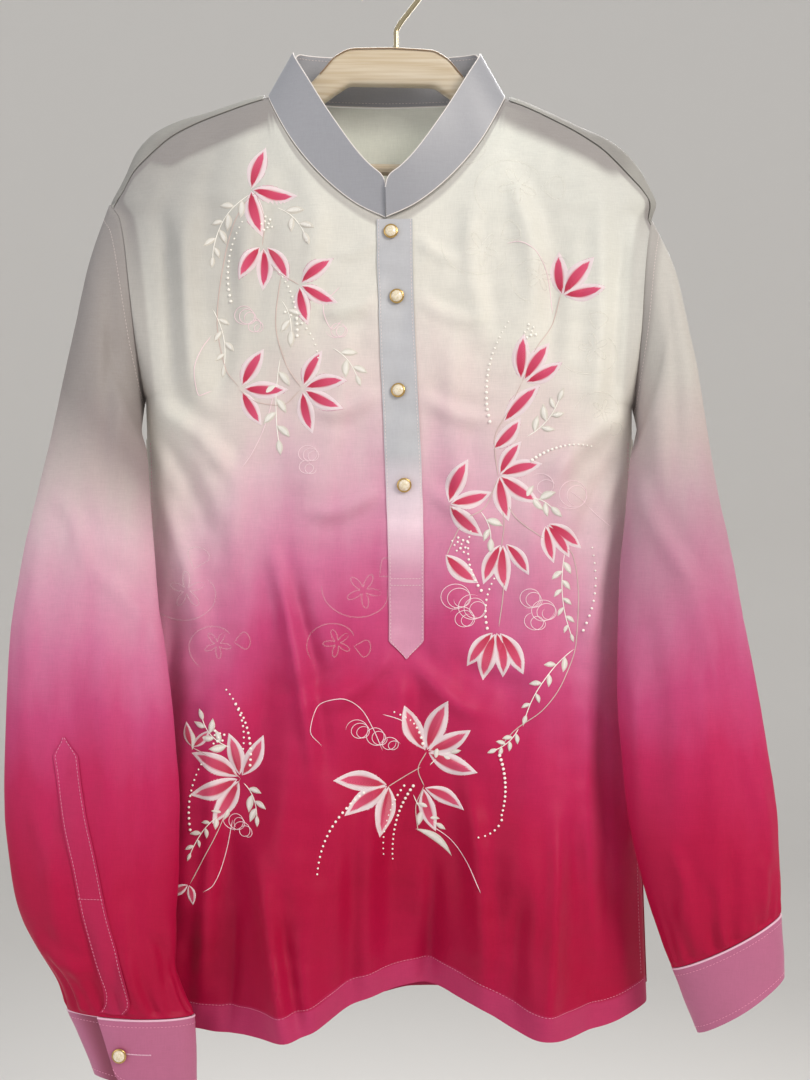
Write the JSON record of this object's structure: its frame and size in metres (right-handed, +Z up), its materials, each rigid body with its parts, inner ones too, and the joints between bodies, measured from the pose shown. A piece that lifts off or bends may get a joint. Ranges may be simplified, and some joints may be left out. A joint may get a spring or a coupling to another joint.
{
  "type": "barong tagalog shirt on a clothes hanger",
  "caption": "Long-sleeved popover barong shirt of dip-dyed figured organza with a stand collar, half placket and embroidered sprays, hanging on a shaped clothes hanger with a wire hook",
  "frame": {"origin": "the inner top of the hanger's hook, where a rod carries it", "axes": "+Z up; the shirt's front faces -Y; +X is to the right of a viewer who faces the front, which is the wearer's left"},
  "size_m": [0.6504, 0.1433, 0.9713],
  "materials": {
    "dip_dyed_organza": "semi-sheer silk organza with a tone-on-tone figure, dip-dyed from ivory through pink to deep rose at the hem",
    "mauve_satin": "mauve pink satin with a light piped edge",
    "grey_satin": "silver grey satin, fading to pale pink at the placket's foot",
    "pearl": "domed pearl button in a gilt rim",
    "hanger_wood": "pale beige lacquered",
    "hook_wire": "polished pale gilt wire"
  },
  "bodies": {
    "root": {"front": "dip_dyed_organza", "back": "dip_dyed_organza", "yoke": "dip_dyed_organza", "sleeve_left": "dip_dyed_organza", "sleeve_right": "dip_dyed_organza", "sleeve_placket_left": "dip_dyed_organza", "sleeve_placket_right": "dip_dyed_organza", "cuff_left": "mauve_satin", "cuff_right": "mauve_satin", "collar": "grey_satin", "placket": "grey_satin", "button_1": "pearl", "button_2": "pearl", "button_3": "pearl", "button_4": "pearl", "cuff_button_left": "pearl", "cuff_button_right": "pearl", "hanger_body": "hanger_wood", "trouser_bar": "hanger_wood", "hook": "hook_wire"}
  },
  "joints": []
}
